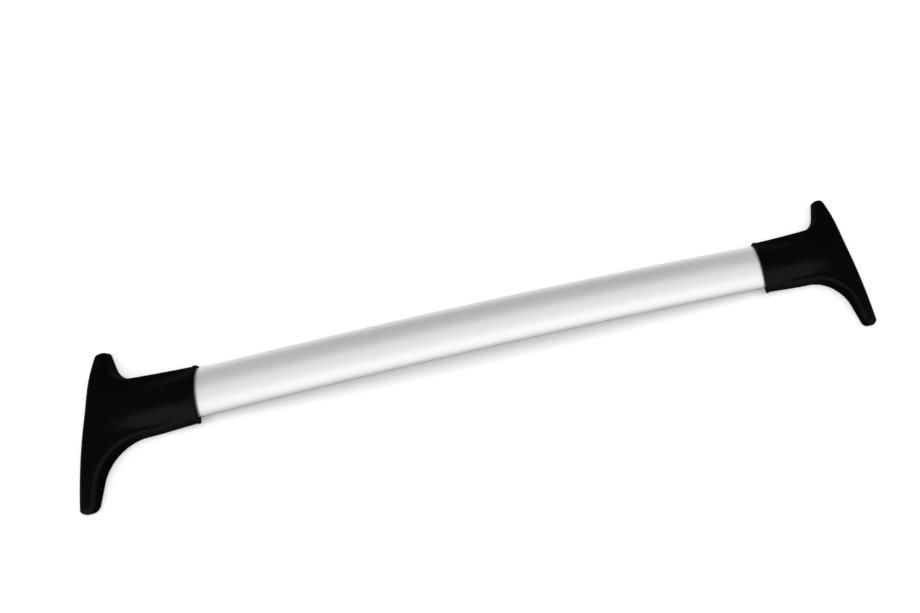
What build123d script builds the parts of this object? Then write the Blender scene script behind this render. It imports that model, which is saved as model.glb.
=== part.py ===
from build123d import *
import os
from math import asin, atan2, cos, degrees, radians, sin, sqrt, tan

# Roof rack crossbar: a bowed aluminium extrusion carried by two T-shaped moulded feet.
# Millimetres. X runs along the bar, Y to the back, Z up. The feet stand on Z = 0.
# The origin is in the middle of the footprint, on the ground.

# Overall
SPAN = 1062.0           # over the ends of the two horns, on the ground
TOE = 9.5               # each foot stands in by this much from its horn to the tip of its leg
FOOT_DEPTH = 141.0      # end of the horn to the mouth of the sleeve, along the bar
MOUTH_SLANT = 6.0       # degrees, the mouth is cut back behind the bar centreline
MOUTH_RAKE = 10.0       # degrees, its top reaches out over the bar
LEG_LEN = 114.0         # bar centreline to the tip of the long leg
HORN_LEN = 86.0         # bar centreline to the end of the short horn

# Bar extrusion
BAR_W = 64.0
BAR_H = 22.0
NOSE_R = 6.0            # round lower edges, front and back
BAR_WALL = 2.2
WEB_T = 2.0
WEB_PITCH = 26.0        # between the middles of the two inner webs
BOW = 17.0              # rise of the bar between the two mouths
BAR_Z = 8.5             # underside of the bar above the ground, at the mouths
INSERTION = 48.0        # length of bar held inside each sleeve
LINE_R = 0.5            # fine extruded line along each nose
LINE_ANGLE = 10.0       # where it lies on the nose, above the level

# Foot moulding: plan
LEG_W = 20.0            # width at the tip
LEG_ROOT_W = 29.0       # width where the leg meets the neck
HORN_W = 16.0           # width at the horn's end
HORN_ROOT_W = 34.0      # width where the horn meets the neck
NECK_FRONT = 40.5       # bar centreline to the corner of neck and leg
NECK_BACK = 42.0        # bar centreline to the corner of neck and horn
FLARE_R = 46.0          # concave sweep from the neck into the leg
HORN_CORNER_R = 32.0    # concave corner between the neck and the horn
TIP_R = 7.5
HORN_END_R = 7.5
DRAFT = 7.0             # lean of the side walls, degrees

# Foot moulding: heights and walls
TOP_Z = 22.3            # top of the foot along its outer face
HEAD_W = 16.0           # band along the outer face that is level across
LEG_FALL_R = 410.0      # side-view radius with which the leg falls to its tip
LEG_FALL_RUN = 102.0    # length of that fall, back from the tip
HORN_FALL_R = 190.0     # side-view radius with which the horn falls
HORN_FALL_RUN = 62.0    # length of that fall, back from the horn's end
SKIRT_W = 18.0          # run over which the arch of the sleeve levels out beside the neck
SKIRT_Z = 18.0          # shoulders of the neck, beside the arch
EDGE_R = 6.0            # rounded top edges
RIM_Z = 1.0             # lower rim of the moulding above the ground
SHELL_WALL = 3.0
SLEEVE_WALL = 2.8       # round the bar
LIP_T = 1.0             # rolled lip of the mouth, proud of the sleeve
LIP_W = 4.5
LIP_ROUND = 0.6
BULKHEAD_T = 3.0        # wall behind the end of the bar
RIB_T = 2.0
RIB_PITCH = 24.0
RIB_COUNT = 6
RUNOUT = 25.0           # length to spare on blanks that are trimmed

# Inner bracket, plate, pad
STANCHION_H = 8.5
BOSS_WALL = 7.0         # metal kept beyond the axis of each insert, along the leg
TONGUE_LEN = 40.0       # inside the bar
TONGUE_ROOT = 10.0      # run of the tongue into the bracket
PLATE_T = 2.5
PAD_T = 3.0

# Fasteners
BOLT_FRONT = 70.0       # rail bolt in the leg, from the bar centreline
BOLT_BACK = 50.0        # rail bolt in the horn, from the bar centreline
BOLT_INSET = 18.5       # both from the end of the horn, along the bar
INSERT_BORE = 6.0
INSERT_D = 9.0
INSERT_FLANGE_D = 12.0
INSERT_FLANGE_T = 1.2
BOLT_HOLE_D = 6.6       # in the plate and the pad
SCREW_D = 5.0           # bar screws
SCREW_HEAD_D = 9.2
SCREW_LEN = 16.0
SCREW_SOCKET_D = 3.5
SCREW_SET = (12.0, 34.0)    # from the mouth
SCREW_SINK = 0.5        # heads below the sleeve's underside
PLATE_SCREW_D = 3.5
PLATE_SCREW_HEAD_D = 6.8
PLATE_SCREW_LEN = 9.0
PLATE_SOCKET_D = 2.5
PLATE_BOSS_D = 7.5
PLATE_SCREW_TIP = 30.0  # front screw of the plate, from the tip of the leg
PLATE_SCREW_END = 10.5  # back screw, from the end of the horn
PLATE_SCREW_IN = 11.0   # third screw, from the bulkhead
PLATE_SCREW_SIDE = 24.0     # and in front of the bar centreline
SOCKET_DEPTH = 1.4      # hexagon recess in the screw heads

# Fits
BAR_FIT = 0.2           # bar in its sleeve, tongue in the bar
END_FIT = 0.4           # bar end to the bulkhead
CASE_FIT = 0.3          # bracket, plate and pad inside the moulding

# Places that follow from the sizes above
OUTER_X = SPAN / 2
MOUTH_X = OUTER_X - FOOT_DEPTH
MOUTH_LEAN = (1, -tan(radians(MOUTH_SLANT)), tan(radians(MOUTH_RAKE)))     # square to the mouth
BAR_END_X = MOUTH_X + INSERTION
INNER_X = BAR_END_X + END_FIT + BULKHEAD_T
BAR_Y = (LEG_LEN - HORN_LEN) / 2
BOW_R = (MOUTH_X ** 2 + BOW ** 2) / (2 * BOW)
BOW_Z = BAR_Z - sqrt(BOW_R ** 2 - MOUTH_X ** 2)
BOW_AXIS = Axis((0, 0, BOW_Z), (0, 1, 0))
NOSE_Y = BAR_W / 2 - NOSE_R
CROWN_R = (NOSE_Y ** 2 + (BAR_H - NOSE_R) ** 2 - NOSE_R ** 2) / (2 * (BAR_H - 2 * NOSE_R))
CROWN_END = atan2(NOSE_R - BAR_H + CROWN_R, NOSE_Y)     # where the crown runs into the nose, as an angle
SLEEVE_GROW = BAR_FIT + SLEEVE_WALL
NECK_W = BAR_W + 2 * SLEEVE_GROW + 2 * (BAR_Z + NOSE_R) * tan(radians(DRAFT))
PLATE_Z = PAD_T
STANCHION_Z = PLATE_Z + PLATE_T
RIB_Z = STANCHION_Z + STANCHION_H
BOLT_X = OUTER_X - BOLT_INSET
BOLT_YS = (BAR_Y - BOLT_FRONT, BAR_Y + BOLT_BACK)
PLATE_SCREW_SPOTS = (
    (OUTER_X - TOE - LEG_W / 2, BAR_Y - LEG_LEN + PLATE_SCREW_TIP),
    (OUTER_X - HORN_W / 2, BAR_Y + HORN_LEN - PLATE_SCREW_END),
    (INNER_X + PLATE_SCREW_IN, BAR_Y - PLATE_SCREW_SIDE),
)
BIG = 2 * SPAN          # larger than the object, for cutting blocks
UP = (Align.CENTER, Align.CENTER, Align.MIN)
DOWN = (Align.CENTER, Align.CENTER, Align.MAX)


# Bar

def loaf(grow):
    """Section of the bar offset outwards by grow: level floor, round noses, arched crown."""
    middle = (CROWN_END - radians(90)) / 2
    nose = NOSE_R + grow
    low = (NOSE_Y, -grow)
    bulge = (NOSE_Y + nose * cos(middle), NOSE_R + nose * sin(middle))
    high = (NOSE_Y + nose * cos(CROWN_END), NOSE_R + nose * sin(CROWN_END))
    crown = (0, BAR_H + grow)
    back = ThreePointArc(low, bulge, high)
    return make_face([Line((-low[0], low[1]), low), back, ThreePointArc(high, crown, (-high[0], high[1])),
                      mirror(back, Plane.YZ)])


def bar_floor(x):
    """Height of the bar's underside at x."""
    return BOW_Z + sqrt(BOW_R ** 2 - x ** 2)


def along_bar(section, start_x, end_x):
    """Carry a section along the bow, from one X to another."""
    plane = Plane((0, BAR_Y, BOW_Z + BOW_R), x_dir=(0, 1, 0), z_dir=(1, 0, 0))
    start, end = (degrees(asin(x / BOW_R)) for x in (start_x, end_x))
    face = (plane * section).rotate(BOW_AXIS, start)
    return revolve(face, axis=BOW_AXIS, revolution_arc=end - start)


def middle_chamber(gap):
    """Section of the bar's middle chamber, less a gap all round."""
    return loaf(-BAR_WALL - gap) & Rectangle(WEB_PITCH - WEB_T - 2 * gap, BIG)


def screw_xs():
    return [MOUTH_X + place for place in SCREW_SET]


def bar():
    hollow = loaf(-BAR_WALL)
    for side in (-1, 1):
        hollow -= Pos(side * WEB_PITCH / 2, 0) * Rectangle(WEB_T, BIG)
    section = loaf(0) - hollow
    line_y = NOSE_Y + NOSE_R * cos(radians(LINE_ANGLE))
    line_z = NOSE_R + NOSE_R * sin(radians(LINE_ANGLE))
    for side in (-1, 1):
        section -= Pos(side * line_y, line_z) * Circle(LINE_R)
    solid = along_bar(section, -BAR_END_X, BAR_END_X)
    for side in (-1, 1):
        for x in screw_xs():
            solid -= Pos(side * x, BAR_Y, BAR_Z) * Cylinder(SCREW_D / 2, BAR_H)
    return solid


# Foot moulding, right-hand side

def outer_x(back):
    """X of the foot's outer face on the ground, at a distance behind the bar centreline."""
    return OUTER_X - TOE * (HORN_LEN - back) / (HORN_LEN + LEG_LEN)


def foot_outline():
    """The foot on the ground: leg, horn and neck, with length to spare beyond the mouth."""
    corners = [
        ((outer_x(-LEG_LEN), BAR_Y - LEG_LEN), TIP_R),
        ((outer_x(HORN_LEN), BAR_Y + HORN_LEN), HORN_END_R),
        ((outer_x(HORN_LEN) - HORN_W, BAR_Y + HORN_LEN), HORN_END_R),
        ((outer_x(NECK_BACK) - HORN_ROOT_W, BAR_Y + NECK_BACK), HORN_CORNER_R),
        ((MOUTH_X - RUNOUT, BAR_Y + NECK_W / 2), 0),
        ((MOUTH_X - RUNOUT, BAR_Y - NECK_W / 2), 0),
        ((outer_x(-NECK_FRONT) - LEG_ROOT_W, BAR_Y - NECK_FRONT), FLARE_R),
        ((outer_x(-LEG_LEN) - LEG_W, BAR_Y - LEG_LEN), TIP_R),
    ]
    face = make_face(Polyline(*[place for place, _ in corners], close=True))
    for place, radius in corners:
        if radius:
            face = fillet(face.vertices().sort_by_distance(place)[0], radius)
    return face


def blank(grow):
    """The outline grown by an amount and drawn up with the draft of the walls."""
    plan = offset(foot_outline(), grow) if grow else foot_outline()
    return extrude(plan, BAR_Z + BAR_H + RUNOUT, taper=DRAFT)


def slice_of_blank(grow, low, high):
    return blank(grow) & Pos(0, 0, low) * Box(BIG, BIG, high - low, align=UP)


def over_bar(x, back):
    """Height of the foot's top where it arches over the bar, down to its level shoulders."""
    radius = CROWN_R + SLEEVE_GROW
    centre = bar_floor(x) + BAR_H - CROWN_R
    past = abs(back) - radius * cos(CROWN_END)
    if past <= 0:
        arch = centre + sqrt(radius ** 2 - back ** 2)
    else:
        arch = centre + radius * sin(CROWN_END) - past / tan(CROWN_END)
    return max(arch, SKIRT_Z)


def over_head(back):
    """Height of the foot's top along its outer face: level, then falling to both ends."""
    front = max(-back - (LEG_LEN - LEG_FALL_RUN), 0)
    behind = max(back - (HORN_LEN - HORN_FALL_RUN), 0)
    drop = LEG_FALL_R - sqrt(LEG_FALL_R ** 2 - front ** 2) + HORN_FALL_R - sqrt(HORN_FALL_R ** 2 - behind ** 2)
    return TOP_Z - drop


def under_top(grow):
    """All that lies under the foot's top, lofted from the arch over the bar to the long curve of the head."""
    shoulder = (CROWN_R + SLEEVE_GROW) * cos(CROWN_END)
    skirt = NECK_W / 2 + SKIRT_W
    front, back = LEG_LEN + RUNOUT, HORN_LEN + RUNOUT
    places = (-front, -(front + skirt) / 2, -skirt, -NECK_W / 2, -shoulder, -shoulder / 2, 0,
              shoulder / 2, shoulder, NECK_W / 2, skirt, (back + skirt) / 2, back)
    sections = []
    middle_x = (MOUTH_X + BAR_END_X) / 2
    for x in (MOUTH_X - RUNOUT, MOUTH_X, middle_x, BAR_END_X, OUTER_X - HEAD_W, OUTER_X + RUNOUT):
        heights = [over_bar(x, y) if x <= BAR_END_X else over_head(y) for y in places]
        top = Spline(*[(y, z + grow) for y, z in zip(places, heights)])
        low_back, low_front = (back, -BAR_H), (-front, -BAR_H)
        edge = [top, Line(top @ 1, low_back), Line(low_back, low_front), Line(low_front, top @ 0)]
        sections.append(Plane((x, BAR_Y, 0), x_dir=(0, 1, 0), z_dir=(1, 0, 0)) * make_face(edge))
    return loft(sections)


def beyond(x):
    """Half space outboard of x."""
    return Pos(x, 0, 0) * Box(BIG, BIG, BIG, align=(Align.MIN, Align.CENTER, Align.CENTER))


def past_mouth(depth):
    """Half space outboard of the mouth's leaning cut, at a depth into the sleeve."""
    return Plane((MOUTH_X + depth, BAR_Y, BAR_Z), z_dir=MOUTH_LEAN) * Box(BIG, BIG, BIG, align=UP)


def form(grow):
    """The foot as one smooth body, grown by an amount, with its top edges rounded."""
    body = blank(grow) & under_top(grow)
    top = max(body.faces(), key=lambda face: face.area * face.normal_at(face.center()).Z)
    rim = [edge for edge in top.edges() if edge.center().X > MOUTH_X - RUNOUT / 2]
    return fillet(rim, EDGE_R + grow)


def lip():
    """Rolled lip round the mouth."""
    band = (form(LIP_T) & past_mouth(0)) - past_mouth(LIP_W)
    ends = band.faces().filter_by(Axis((MOUTH_X, BAR_Y, BAR_Z), MOUTH_LEAN))
    return fillet(ends.edges(), LIP_ROUND)


def under_sleeve():
    """Space under the sleeve, which follows the bow of the bar."""
    below = Pos(0, -SLEEVE_GROW) * Rectangle(BIG, 2 * BAR_H, align=(Align.CENTER, Align.MAX))
    return along_bar(below, MOUTH_X - RUNOUT, INNER_X)


def countersunk(shank_d, head_d, length):
    """Countersunk screw with its head flush at Z = 0 and its point up."""
    cone = (head_d - shank_d) / 2
    return Cylinder(shank_d / 2, length, align=UP) + Cone(head_d / 2, shank_d / 2, cone, align=UP)


def screw(shank_d, head_d, length, socket_d):
    """The same with a hexagon recess in its head."""
    return countersunk(shank_d, head_d, length) - extrude(RegularPolygon(socket_d / 2, 6), SOCKET_DEPTH)


def bar_screw_places():
    return [Pos(x, BAR_Y, max(bar_floor(x) - SLEEVE_GROW, RIM_Z) + SCREW_SINK) for x in screw_xs()]


def plate_screw_places():
    return [Pos(x, y, PLATE_Z) for x, y in PLATE_SCREW_SPOTS]


def foot_shell():
    """The moulding: sleeve and head in one, open underneath, with bosses and ribs inside."""
    room = form(-SHELL_WALL) & beyond(INNER_X)
    body = (form(0) & past_mouth(0)) + lip() - room
    for place in plate_screw_places():
        body += room & place * Pos(0, 0, PLATE_T) * Cylinder(PLATE_BOSS_D / 2, BAR_H, align=UP)
    for index in range(RIB_COUNT):
        rib = Pos(OUTER_X, BOLT_YS[0] + index * RIB_PITCH, RIB_Z) * Box(2 * FOOT_DEPTH, RIB_T, BAR_H, align=UP)
        body += room & rib
    body -= along_bar(loaf(BAR_FIT), MOUTH_X - RUNOUT, BAR_END_X + END_FIT)
    body -= along_bar(middle_chamber(-BAR_FIT), BAR_END_X, INNER_X + TONGUE_ROOT + END_FIT)
    body -= under_sleeve()
    for place in bar_screw_places():
        body -= place * countersunk(SCREW_D, SCREW_HEAD_D, SCREW_LEN)
        body -= place * Cylinder(SCREW_HEAD_D / 2, BAR_H, align=DOWN)
    for place in plate_screw_places():
        body -= place * Cylinder(PLATE_SCREW_D / 2, PLATE_SCREW_LEN, align=UP)
    return body & Pos(0, 0, RIM_Z) * Box(BIG, BIG, BIG, align=UP)


# Inside and under the foot, right-hand side

def stanchion():
    """Die-cast bracket: T-shaped block under the ribs, with a tongue into the bar's middle chamber."""
    inset = SHELL_WALL + CASE_FIT
    length = BOLT_YS[1] - BOLT_YS[0] + 2 * BOSS_WALL
    limits = Pos(OUTER_X, sum(BOLT_YS) / 2, STANCHION_Z) * Box(2 * FOOT_DEPTH, length, STANCHION_H, align=UP)
    block = form(-inset) & limits & beyond(INNER_X + CASE_FIT)
    body = block + along_bar(middle_chamber(BAR_FIT), BAR_END_X - TONGUE_LEN, INNER_X + TONGUE_ROOT)
    for place in plate_screw_places():
        body -= place * Cylinder(PLATE_BOSS_D / 2 + CASE_FIT, BIG)
    for place in insert_places():
        body -= place * insert_blank()
    for place in bar_screw_places():
        body -= place * Cylinder(SCREW_D / 2, SCREW_LEN, align=UP)
    return body & Pos(0, 0, STANCHION_Z) * Box(BIG, BIG, BIG, align=UP)


def insert_places():
    return [Pos(BOLT_X, y, STANCHION_Z) for y in BOLT_YS]


def insert_blank():
    """Outside of a threaded insert, flange down."""
    barrel = Cylinder(INSERT_D / 2, STANCHION_H, align=UP)
    return barrel + Cylinder(INSERT_FLANGE_D / 2, INSERT_FLANGE_T, align=UP)


def thread_inserts():
    bore = Cylinder(INSERT_BORE / 2, BIG)
    return [place * (insert_blank() - bore) for place in insert_places()]


def bolt_holes():
    return [Pos(BOLT_X, y, 0) * Cylinder(BOLT_HOLE_D / 2, BIG) for y in BOLT_YS]


def base_plate():
    body = slice_of_blank(-SHELL_WALL - CASE_FIT, PLATE_Z, STANCHION_Z) & beyond(INNER_X + CASE_FIT)
    for place in plate_screw_places():
        body -= place * countersunk(PLATE_SCREW_D, PLATE_SCREW_HEAD_D, PLATE_SCREW_LEN)
    return body - bolt_holes()


def foot_pad():
    return (slice_of_blank(-SHELL_WALL - CASE_FIT, 0, PLATE_Z) & beyond(INNER_X + CASE_FIT)) - bolt_holes()


def bar_screws():
    return [place * screw(SCREW_D, SCREW_HEAD_D, SCREW_LEN, SCREW_SOCKET_D) for place in bar_screw_places()]


def plate_screws():
    return [place * screw(PLATE_SCREW_D, PLATE_SCREW_HEAD_D, PLATE_SCREW_LEN, PLATE_SOCKET_D)
            for place in plate_screw_places()]


# Write each piece; the left foot is the mirror image of the right one

def save(name, pieces):
    export_step(pieces[0] if len(pieces) == 1 else Compound(children=pieces), "parts/" + name + ".step")


os.makedirs("parts", exist_ok=True)
save("crossbar", bar().solids())
for name, make in (("foot_shell", foot_shell), ("stanchion", stanchion), ("thread_inserts", thread_inserts),
                   ("base_plate", base_plate), ("foot_pad", foot_pad), ("bar_screws", bar_screws),
                   ("plate_screws", plate_screws)):
    made = make()
    solids = made if isinstance(made, list) else made.solids()
    save("right_" + name, solids)
    save("left_" + name, [mirror(solid, Plane.YZ) for solid in solids])
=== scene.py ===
from math import cos, pi, radians, sin

import bmesh
import bpy
from mathutils import Matrix, Vector


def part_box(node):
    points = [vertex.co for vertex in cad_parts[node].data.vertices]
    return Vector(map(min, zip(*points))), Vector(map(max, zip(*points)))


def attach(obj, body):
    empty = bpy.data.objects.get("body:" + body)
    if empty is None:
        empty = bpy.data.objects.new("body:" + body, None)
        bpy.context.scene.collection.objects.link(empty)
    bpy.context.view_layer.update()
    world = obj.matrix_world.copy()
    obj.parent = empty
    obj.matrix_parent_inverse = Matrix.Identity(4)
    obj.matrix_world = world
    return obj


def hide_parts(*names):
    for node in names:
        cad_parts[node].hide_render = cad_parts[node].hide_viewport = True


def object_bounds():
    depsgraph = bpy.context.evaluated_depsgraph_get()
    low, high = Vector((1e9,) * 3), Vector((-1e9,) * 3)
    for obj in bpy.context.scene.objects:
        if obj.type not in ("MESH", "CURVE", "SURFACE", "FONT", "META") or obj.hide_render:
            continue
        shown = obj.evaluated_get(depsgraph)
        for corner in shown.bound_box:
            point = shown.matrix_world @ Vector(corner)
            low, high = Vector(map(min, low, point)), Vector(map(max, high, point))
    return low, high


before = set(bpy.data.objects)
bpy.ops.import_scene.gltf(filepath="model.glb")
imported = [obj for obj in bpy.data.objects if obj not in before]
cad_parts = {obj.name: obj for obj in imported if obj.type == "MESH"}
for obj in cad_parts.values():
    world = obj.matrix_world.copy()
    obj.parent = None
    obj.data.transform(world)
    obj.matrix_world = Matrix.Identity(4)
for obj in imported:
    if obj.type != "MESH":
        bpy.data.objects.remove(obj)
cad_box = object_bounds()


# Crossbar
# One aluminium extrusion, rolled to a long bow, then brushed along its length and anodised to a satin
# silver. A thin line of painted shade runs where the crown meets each nose, and the lower nose and
# underside carry painted shade, a darker, rougher grey.
# Each end is pushed into the sleeve of a foot and held there by screws from below.

class Wire:
    """A value inside a material. Sums and products of it add Math nodes."""

    def __init__(self, tree, socket=None):
        self.tree = tree
        self.socket = socket

    def node(self, kind, settings, sockets, output=0):
        """Any other node: its type, its settings, then the values or links of its sockets."""
        made = self.tree.nodes.new("ShaderNode" + kind)
        for name, value in settings.items():
            setattr(made, name, value)
        for key, value in sockets.items():
            if isinstance(value, Wire):
                self.tree.links.new(value.socket, made.inputs[key])
            else:
                made.inputs[key].default_value = value
        return Wire(self.tree, made.outputs[output] if made.outputs else None)

    def reckon(self, operation, first, second):
        return self.node("Math", {"operation": operation}, {0: first, 1: second})

    def __add__(self, other):
        return self.reckon("ADD", self, other)

    __radd__ = __add__

    def __mul__(self, other):
        return self.reckon("MULTIPLY", self, other)

    __rmul__ = __mul__


def finish(name):
    """A bare material, and the piece's own coordinates to work from."""
    made = bpy.data.materials.new(name)
    made.use_nodes = True
    made.node_tree.nodes.clear()
    return made, Wire(made.node_tree).node("TexCoord", {}, {}, "Object")


def noise(place, scale, detail, stretch=(1, 1, 1)):
    """Noise from 0 to 1, with so many lumps to the metre, drawn out along an axis by a small stretch."""
    turned = place.node("Mapping", {}, {"Vector": place, "Scale": stretch})
    return place.node("TexNoise", {}, {"Vector": turned, "Scale": scale, "Detail": detail})


def between(share, first, second):
    """A colour that runs from one to another with a share from 0 to 1."""
    ends = [end if isinstance(end, Wire) else (*end, 1) for end in (first, second)]
    return share.node("Mix", {"data_type": "RGBA"}, {0: share, 6: ends[0], 7: ends[1]}, 2)


def facing(place, axis):
    """How far a surface looks along X, Y or Z (axis 0, 1 or 2): 1 straight along it, -1 the other way."""
    outwards = place.node("TexCoord", {}, {}, "Normal")
    return place.node("SeparateXYZ", {}, {0: outwards}, axis)


def step(value, start, end):
    """0 on one side of start, 1 beyond end, and smooth between."""
    return value.node("MapRange", {"interpolation_type": "SMOOTHSTEP"}, {0: value, 1: start, 2: end})


def relief(height, depth, strength):
    """Normals for a surface whose height runs from 0 to 1 over a depth in metres."""
    return height.node("Bump", {}, {"Height": height, "Distance": depth, "Strength": strength})


def cover(place, sockets):
    """The material's surface, from the values and links of its sockets."""
    shader = place.node("BsdfPrincipled", {}, sockets)
    place.node("OutputMaterial", {}, {"Surface": shader})


CREASE = radians(35)    # edges sharper than this stay sharp
SAME_POINT = 0.000002   # corners of triangles that lie this close are one point


def skin(node, material):
    """The piece itself as one skin, its triangles joined and shaded smooth between creases."""
    form = bmesh.new()
    form.from_mesh(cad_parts[node].data)
    bmesh.ops.remove_doubles(form, verts=form.verts, dist=SAME_POINT)
    for face in form.faces:
        face.smooth = True
    for edge in form.edges:
        edge.smooth = edge.calc_face_angle(pi) < CREASE
    mesh = bpy.data.meshes.new(node + "_skin")
    form.to_mesh(mesh)
    form.free()
    mesh.materials.clear()
    mesh.materials.append(material)
    piece = bpy.data.objects.new(node + "_skin", mesh)
    bpy.context.scene.collection.objects.link(piece)
    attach(piece, "root")
    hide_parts(node)


DULL_SILVER = (0.71, 0.715, 0.725)
BRIGHT_SILVER = (0.79, 0.795, 0.80)
# Grey of the painted shade on the bar's crown edge, lower nose and underside.
PAINTED_SHADE_GREY = (0.06, 0.06, 0.065)
BRUSHED = (0.012, 1, 1)     # brush marks are drawn out along the bar
ROLLED = (0.3, 1, 1)        # and so is the clouding of the metal, a little
satin_silver, place = finish("satin_silver_anodised")
brushing = noise(place, 1500, 4, BRUSHED)
clouding = noise(place, 18, 2, ROLLED)
rise = facing(place, 2)
# Painted shade: a thin darker band where the crown meets each nose, placed by the surface's slope.
painted_shade_line = step(rise, 0.63, 0.68) * step(rise, 0.75, 0.70)
# Painted shade: where the nose turns down, and on the underside, the colour goes to dark grey and the
# surface rougher.
painted_underside_shade = step(rise, 0.46, 0.34)
silver = between(0.6 * brushing + 0.4 * clouding, DULL_SILVER, BRIGHT_SILVER)
cover(place, {
    "Base Color": between(0.45 * painted_shade_line + 0.85 * painted_underside_shade, silver, PAINTED_SHADE_GREY),
    "Metallic": 1.0,
    "Roughness": 0.32 + 0.1 * brushing + 0.05 * clouding + 0.15 * painted_underside_shade,
    "Normal": relief(brushing, 0.00002, 0.25),
})
skin("crossbar", satin_silver)


# Foot mouldings
# Left and right covers of glass-filled nylon, injection moulded in one with the sleeve round the bar.
# The tool leaves a fine matt grain. The coat is a painted sheen: least on the walls, more on the tops, and
# a painted highlight band on the front shoulders.

DEEP_BLACK = (0.0004, 0.0004, 0.0004)
GRAIN_BLACK = (0.0014, 0.0014, 0.0015)
black_grain, place = finish("black_grained_nylon")
grain = noise(place, 1300, 2)
flow = noise(place, 25, 3)
rise = facing(place, 2)
top = step(rise, 0.25, 0.6)
front = step(facing(place, 1), 0.25, -0.15)
# Painted highlight: a band of extra coat on the upward, front-facing shoulders.
painted_highlight_band = top * step(rise, 1.0, 0.92) * front
# Painted sheen: coat weight rises from the walls to the tops, and most on the front shoulders.
painted_sheen = 0.006 + 0.022 * top + 0.115 * painted_highlight_band
cover(place, {
    "Base Color": between(0.5 * grain + 0.5 * flow, DEEP_BLACK, GRAIN_BLACK),
    "Roughness": 0.5 + 0.2 * grain + 0.1 * flow,
    "Specular IOR Level": 0.008,
    "Coat Weight": painted_sheen * (0.7 + 0.6 * grain),
    "Coat Roughness": 0.3,
    "Normal": relief(grain, 0.00012, 0.3),
})
for side in ("left", "right"):
    skin(side + "_foot_shell", black_grain)


# Stanchions
# Die-cast aluminium brackets that fill the head of each foot, with a tongue into the bar's middle
# chamber. They carry the load from the bar to the rail bolts and are left as cast.

DARK_CAST = (0.46, 0.465, 0.475)
PALE_CAST = (0.60, 0.605, 0.61)
as_cast, place = finish("as_cast_aluminium")
sand = noise(place, 700, 4)
chill = noise(place, 60, 2)
cover(place, {
    "Base Color": between(0.5 * sand + 0.5 * chill, DARK_CAST, PALE_CAST),
    "Metallic": 1.0,
    "Roughness": 0.46 + 0.2 * sand,
    "Normal": relief(sand, 0.00015, 0.4),
})
for side in ("left", "right"):
    skin(side + "_stanchion", as_cast)


# Thread inserts, bar screws and plate screws
# Steel, cold headed or turned, and zinc plated: a bluish silver with a faint mottle. The inserts are
# pressed into the stanchions, the screws are driven from below.

BLUE_ZINC = (0.54, 0.555, 0.58)
PALE_ZINC = (0.68, 0.69, 0.70)
zinc, place = finish("zinc_plated_steel")
spangle = noise(place, 420, 3)
cover(place, {
    "Base Color": between(spangle, BLUE_ZINC, PALE_ZINC),
    "Metallic": 1.0,
    "Roughness": 0.26 + 0.16 * spangle,
    "Normal": relief(spangle, 0.00003, 0.2),
})
for side in ("left", "right"):
    for fastener in ("thread_inserts", "bar_screws", "plate_screws"):
        skin(side + "_" + fastener, zinc)


# Base plates
# Flat polypropylene plates that close the underside of each foot, held by three screws into the
# moulding. A plainer, smoother black than the covers.

PLATE_BLACK = (0.014, 0.014, 0.014)
PLATE_GREY = (0.024, 0.024, 0.024)
plain_black, place = finish("plain_black_polypropylene")
mottle = noise(place, 240, 3)
cover(place, {
    "Base Color": between(mottle, PLATE_BLACK, PLATE_GREY),
    "Roughness": 0.5 + 0.14 * mottle,
    "Specular IOR Level": 0.4,
    "Normal": relief(mottle, 0.0001, 0.2),
})
for side in ("left", "right"):
    skin(side + "_base_plate", plain_black)


# Foot pads
# Sheets of black rubber under the plates, which grip the rail and keep its paint from harm. Moulded
# with fine ribs across, dull and slightly dusty.

RUBBER_BLACK = (0.018, 0.018, 0.018)
DUSTY_BLACK = (0.034, 0.034, 0.033)
RIB_SCALE = 80.0
black_rubber, place = finish("black_ribbed_rubber")
bloom = noise(place, 160, 4)
ribs = place.node("TexWave", {"bands_direction": "Y"},
                  {"Vector": place, "Scale": RIB_SCALE, "Distortion": 0.0}, 1)
cover(place, {
    "Base Color": between(bloom, RUBBER_BLACK, DUSTY_BLACK),
    "Roughness": 0.72 + 0.16 * bloom,
    "Specular IOR Level": 0.3,
    "Normal": relief(0.85 * ribs + 0.15 * bloom, 0.0004, 0.6),
})
for side in ("left", "right"):
    skin(side + "_foot_pad", black_rubber)


# Studio
# A sheet of white paper under the object, lit by a soft box overhead and by pale grey walls, darker
# behind. Two bright cards, in front and overhead, show only in the metal. To the eye and in mirrors the
# paper is a little whiter than it is lit, and from below it can be seen through.

PAPER_DULL = (0.92, 0.92, 0.92)
PAPER_WHITE = (0.94, 0.94, 0.94)
PAPER_LIFT = (0.2, 0.2, 0.2)    # whiter than it is lit
PAPER_REACH = 6.0               # from its middle to each edge
PAPER_DROP = 0.0003             # under the pads, so that the two faces stay apart
paper, place = finish("white_paper")
fibre = noise(place, 300, 3)
seen = [place.node("LightPath", {}, {}, kind)
        for kind in ("Is Camera Ray", "Is Glossy Ray", "Is Transmission Ray")]
white = place.node("BsdfPrincipled", {}, {
    "Base Color": between(fibre, PAPER_DULL, PAPER_WHITE),
    "Roughness": 0.9,
    "Specular IOR Level": 0.0,
    "Emission Color": between(seen[0] + seen[1] + seen[2], (0, 0, 0), PAPER_LIFT),
    "Emission Strength": 1.0,
})
from_below = place.node("NewGeometry", {}, {}, "Backfacing")
clear = place.node("BsdfTransparent", {}, {})
surface = place.node("MixShader", {}, {0: from_below, 1: white, 2: clear})
place.node("OutputMaterial", {}, {"Surface": surface})
sheet = bmesh.new()
bmesh.ops.create_grid(sheet, x_segments=1, y_segments=1, size=PAPER_REACH)
bmesh.ops.translate(sheet, verts=sheet.verts, vec=(0, 0, -PAPER_DROP))
mesh = bpy.data.meshes.new("floor")
sheet.to_mesh(mesh)
sheet.free()
mesh.materials.append(paper)
floor = bpy.data.objects.new("floor", mesh)
bpy.context.scene.collection.objects.link(floor)

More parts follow.
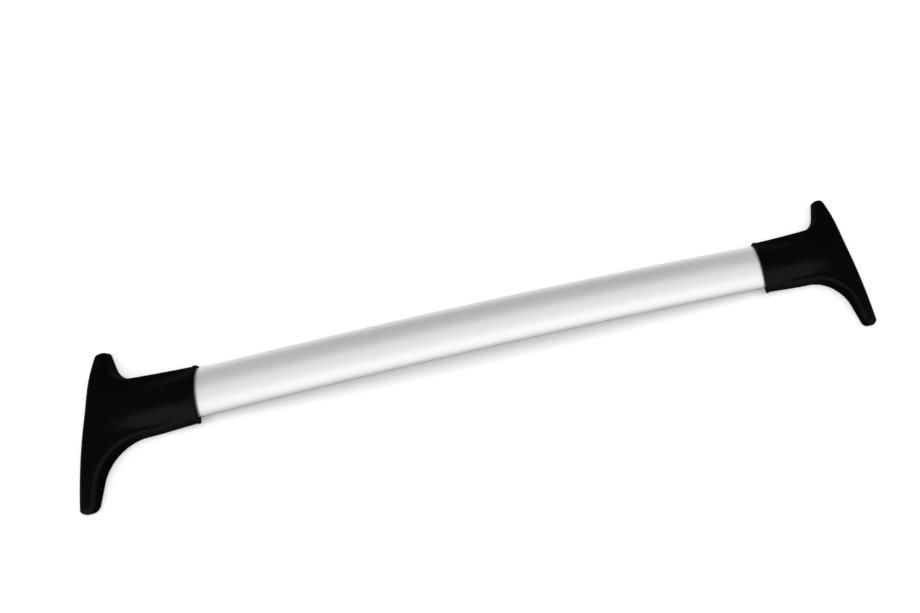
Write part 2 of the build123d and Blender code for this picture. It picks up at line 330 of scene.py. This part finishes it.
WALL_FRONT = (0.63, 0.63, 0.63)
WALL_BACK = (0.54, 0.54, 0.54)
walls = bpy.data.worlds.new("walls")
walls.use_nodes = True
walls.node_tree.nodes.clear()
air = Wire(walls.node_tree)
towards_back = air.node("SeparateXYZ", {}, {0: air.node("TexCoord", {}, {}, "Generated")}, 1)
shade = between(step(towards_back, 0.55, 0.95), WALL_FRONT, WALL_BACK)
grey = air.node("Background", {}, {"Color": shade, "Strength": 1.0})
air.node("OutputWorld", {}, {"Surface": grey})
bpy.context.scene.world = walls

middle = (cad_box[0] + cad_box[1]) / 2


def lamp(name, power, width, depth, at, on_paper):
    """A lamp hung at a point and turned to the object. It lights the paper, or else shows in the metal."""
    light = bpy.data.lights.new(name, "AREA")
    light.shape = "RECTANGLE"
    light.size = width
    light.size_y = depth
    light.energy = power
    hung = bpy.data.objects.new(name, light)
    hung.location = at
    hung.rotation_euler = (middle - Vector(at)).to_track_quat("-Z", "Y").to_euler()
    hung.visible_diffuse = on_paper
    hung.visible_glossy = not on_paper
    bpy.context.scene.collection.objects.link(hung)


lamp("soft_box", power=25.0, width=4.0, depth=1.5, at=(0.0, 0.1, 2.0), on_paper=True)
lamp("front_card", power=25.5, width=7.0, depth=1.5, at=(0.0, -1.41, 1.41), on_paper=False)
lamp("top_card", power=14.5, width=7.0, depth=1.7, at=(0.0, 0.0, 2.0), on_paper=False)


# Camera
# Above the front of the object, a little to the right of its middle, looking steeply down. The lens is
# shifted, so its axis meets the picture to the upper right of the picture's middle.

PICTURE = (920, 613)        # pixels
LENS = 579.32               # pixels
AXIS = (557.25, 204.55)     # pixels, from the upper left corner
RIGHT_OF_MIDDLE = 0.02839
IN_FRONT_OF_BAR = 0.25269
ABOVE_PAPER = 0.78975
pitch = radians(60.96)
roll = radians(0.25)
yaw = radians(13.36)
bar_low, bar_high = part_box("crossbar")
stand = Vector((RIGHT_OF_MIDDLE, (bar_low.y + bar_high.y) / 2 - IN_FRONT_OF_BAR, ABOVE_PAPER))
ahead = Vector((sin(yaw) * cos(pitch), cos(yaw) * cos(pitch), -sin(pitch)))
level = Vector((cos(yaw), -sin(yaw), 0))
upright = level.cross(ahead)
right = cos(roll) * level + sin(roll) * upright
up = cos(roll) * upright - sin(roll) * level
view = bpy.data.cameras.new("view")
view.sensor_fit = "HORIZONTAL"
view.sensor_width = 36.0
view.lens = LENS / PICTURE[0] * view.sensor_width
view.shift_x = (PICTURE[0] / 2 - AXIS[0]) / PICTURE[0]
view.shift_y = (AXIS[1] - PICTURE[1] / 2) / PICTURE[0]
view.clip_start = 0.01
camera = bpy.data.objects.new("view", view)
camera.matrix_world = Matrix.Translation(stand) @ Matrix((right, up, -ahead)).transposed().to_4x4()
bpy.context.scene.collection.objects.link(camera)
bpy.context.scene.camera = camera
bpy.context.scene.view_settings.view_transform = "Standard"
